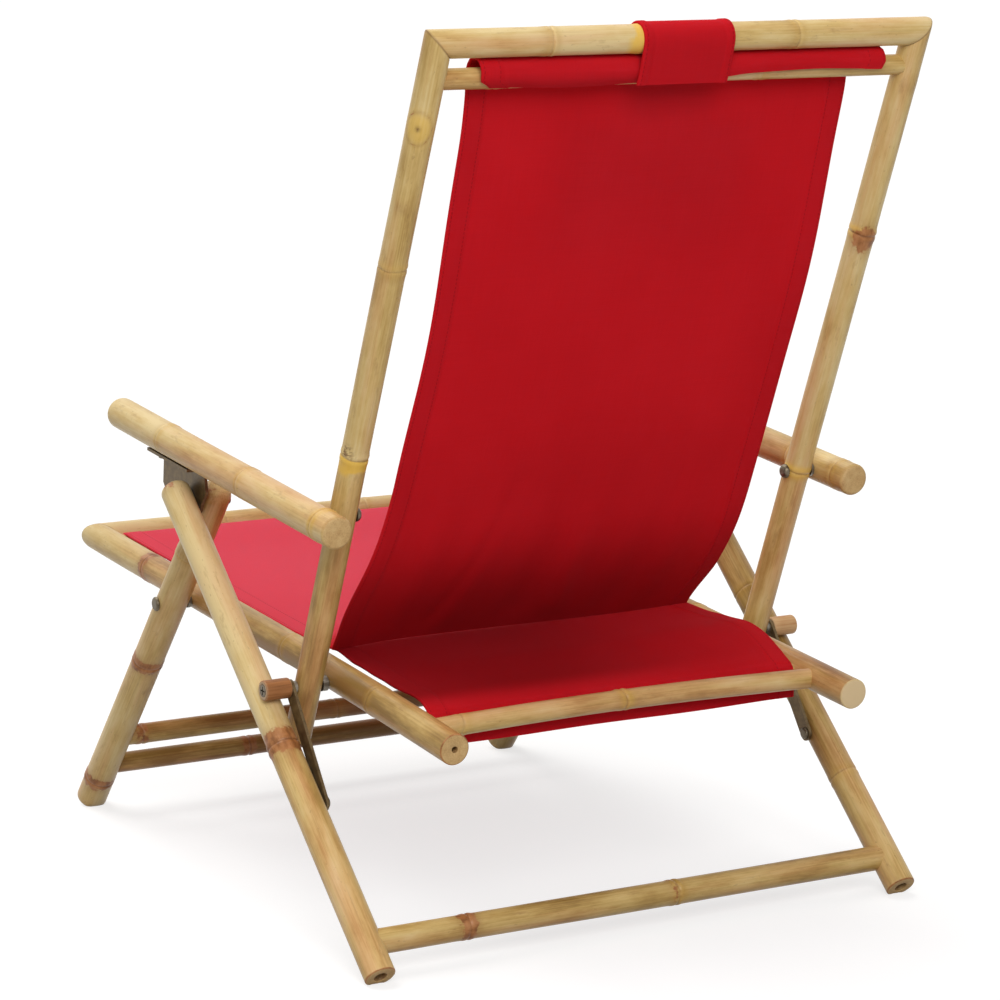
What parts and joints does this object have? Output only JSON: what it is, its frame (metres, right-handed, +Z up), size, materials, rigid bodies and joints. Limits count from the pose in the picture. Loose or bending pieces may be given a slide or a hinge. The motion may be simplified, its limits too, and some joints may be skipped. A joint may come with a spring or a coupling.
{
  "type": "folding reclining chair",
  "caption": "Folding low reclining chair of round bamboo poles with mitred frames, arm brackets and links, a stretched canvas sling seat and back, and a strapped headrest pillow.",
  "frame": {"origin": "on the floor, at the middle of the outline seen from above", "axes": "+X to the left of a person sitting in the chair, +Y to the rear, +Z up"},
  "size_m": [0.625, 0.8638, 0.882],
  "materials": {
    "bamboo": "lacquered bamboo, tan with darker node rings",
    "peg_wood": "brown turned hardwood",
    "canvas": "plain woven red canvas, hemmed",
    "pillow_cloth": "red canvas pillow cover",
    "strap_cloth": "red canvas strap with stitched edges",
    "bronze_metal": "dark bronze sheet metal",
    "screw_metal": "dull plated steel",
    "washer_metal": "dull plated steel"
  },
  "bodies": {
    "seat_frame": {"seat_rail_left": "bamboo", "seat_rail_right": "bamboo", "seat_front_bar": "bamboo", "seat_rear_bar": "bamboo", "sling_bar_front": "bamboo", "sling_bar_rear": "bamboo", "hinge_bolts": "screw_metal", "hinge_peg_left": "peg_wood", "hinge_peg_right": "peg_wood", "hinge_washers": "washer_metal", "strap_spacers": "washer_metal", "leg_bolts": "screw_metal", "leg_washers": "washer_metal", "seat_sling": "canvas", "lumbar_sling": "bamboo"},
    "back_frame": {"back_pole_left": "bamboo", "back_pole_right": "bamboo", "back_top_bar": "bamboo", "sling_bar_upper": "bamboo", "arm_bolts": "screw_metal", "arm_washers": "washer_metal", "back_sling": "canvas", "headrest_pillow": "pillow_cloth", "headrest_strap": "strap_cloth"},
    "arm_left": {"armrest_left": "bamboo", "arm_bracket_left": "bronze_metal", "bracket_screws_left": "screw_metal", "leg_rivet_left": "screw_metal"},
    "arm_right": {"armrest_right": "bamboo", "arm_bracket_right": "bronze_metal", "bracket_screws_right": "screw_metal", "leg_rivet_right": "screw_metal"},
    "front_legs": {"front_leg_left": "bamboo", "front_leg_right": "bamboo", "front_crossbar_lower": "bamboo", "front_crossbar_upper": "bamboo", "leg_top_bolts": "screw_metal"},
    "strap_left": {"strap_left": "bronze_metal"},
    "strap_right": {"strap_right": "bronze_metal"},
    "rear_legs": {"rear_leg_left": "bamboo", "rear_leg_right": "bamboo", "rear_crossbar": "bamboo", "strap_screws": "screw_metal"}
  },
  "joints": [
    {"name": "fold", "type": "hinge", "parent": "seat_frame", "child": "back_frame", "pos_m": [0, 0.1555, 0.238], "axis": [1, 0, 0], "range_deg": [0, 86]},
    {"name": "arm_left_turn", "type": "hinge", "parent": "back_frame", "child": "arm_left", "pos_m": [0.293, 0.2295, 0.4165], "axis": [1, 0, 0], "range_deg": [-94.72, 0]},
    {"name": "arm_right_turn", "type": "hinge", "parent": "back_frame", "child": "arm_right", "pos_m": [-0.293, 0.2295, 0.4165], "axis": [1, 0, 0], "range_deg": [-94.72, 0]},
    {"name": "front_legs_turn", "type": "hinge", "parent": "seat_frame", "child": "front_legs", "pos_m": [0, -0.1535, 0.265], "axis": [1, 0, 0], "range_deg": [0, 102.77]},
    {"name": "strap_left_turn", "type": "hinge", "parent": "seat_frame", "child": "strap_left", "pos_m": [0.2795, 0.1555, 0.238], "axis": [1, 0, 0], "range_deg": [-102.99, 0]},
    {"name": "strap_right_turn", "type": "hinge", "parent": "seat_frame", "child": "strap_right", "pos_m": [-0.2795, 0.1555, 0.238], "axis": [1, 0, 0], "range_deg": [-102.99, 0]},
    {"name": "rear_legs_turn", "type": "hinge", "parent": "strap_left", "child": "rear_legs", "pos_m": [0.2795, 0.22552, 0.13932], "axis": [1, 0, 0], "range_deg": [0, 121.86]}
  ],
  "couplings": [
    {"joint": "arm_left_turn", "follows": "fold", "ratio": -1.1008},
    {"joint": "arm_right_turn", "follows": "fold", "ratio": -1.1008},
    {"joint": "front_legs_turn", "follows": "fold", "ratio": 1.1945},
    {"joint": "strap_left_turn", "follows": "fold", "ratio": -1.1969},
    {"joint": "strap_right_turn", "follows": "fold", "ratio": -1.1969},
    {"joint": "rear_legs_turn", "follows": "fold", "ratio": 1.4164}
  ]
}
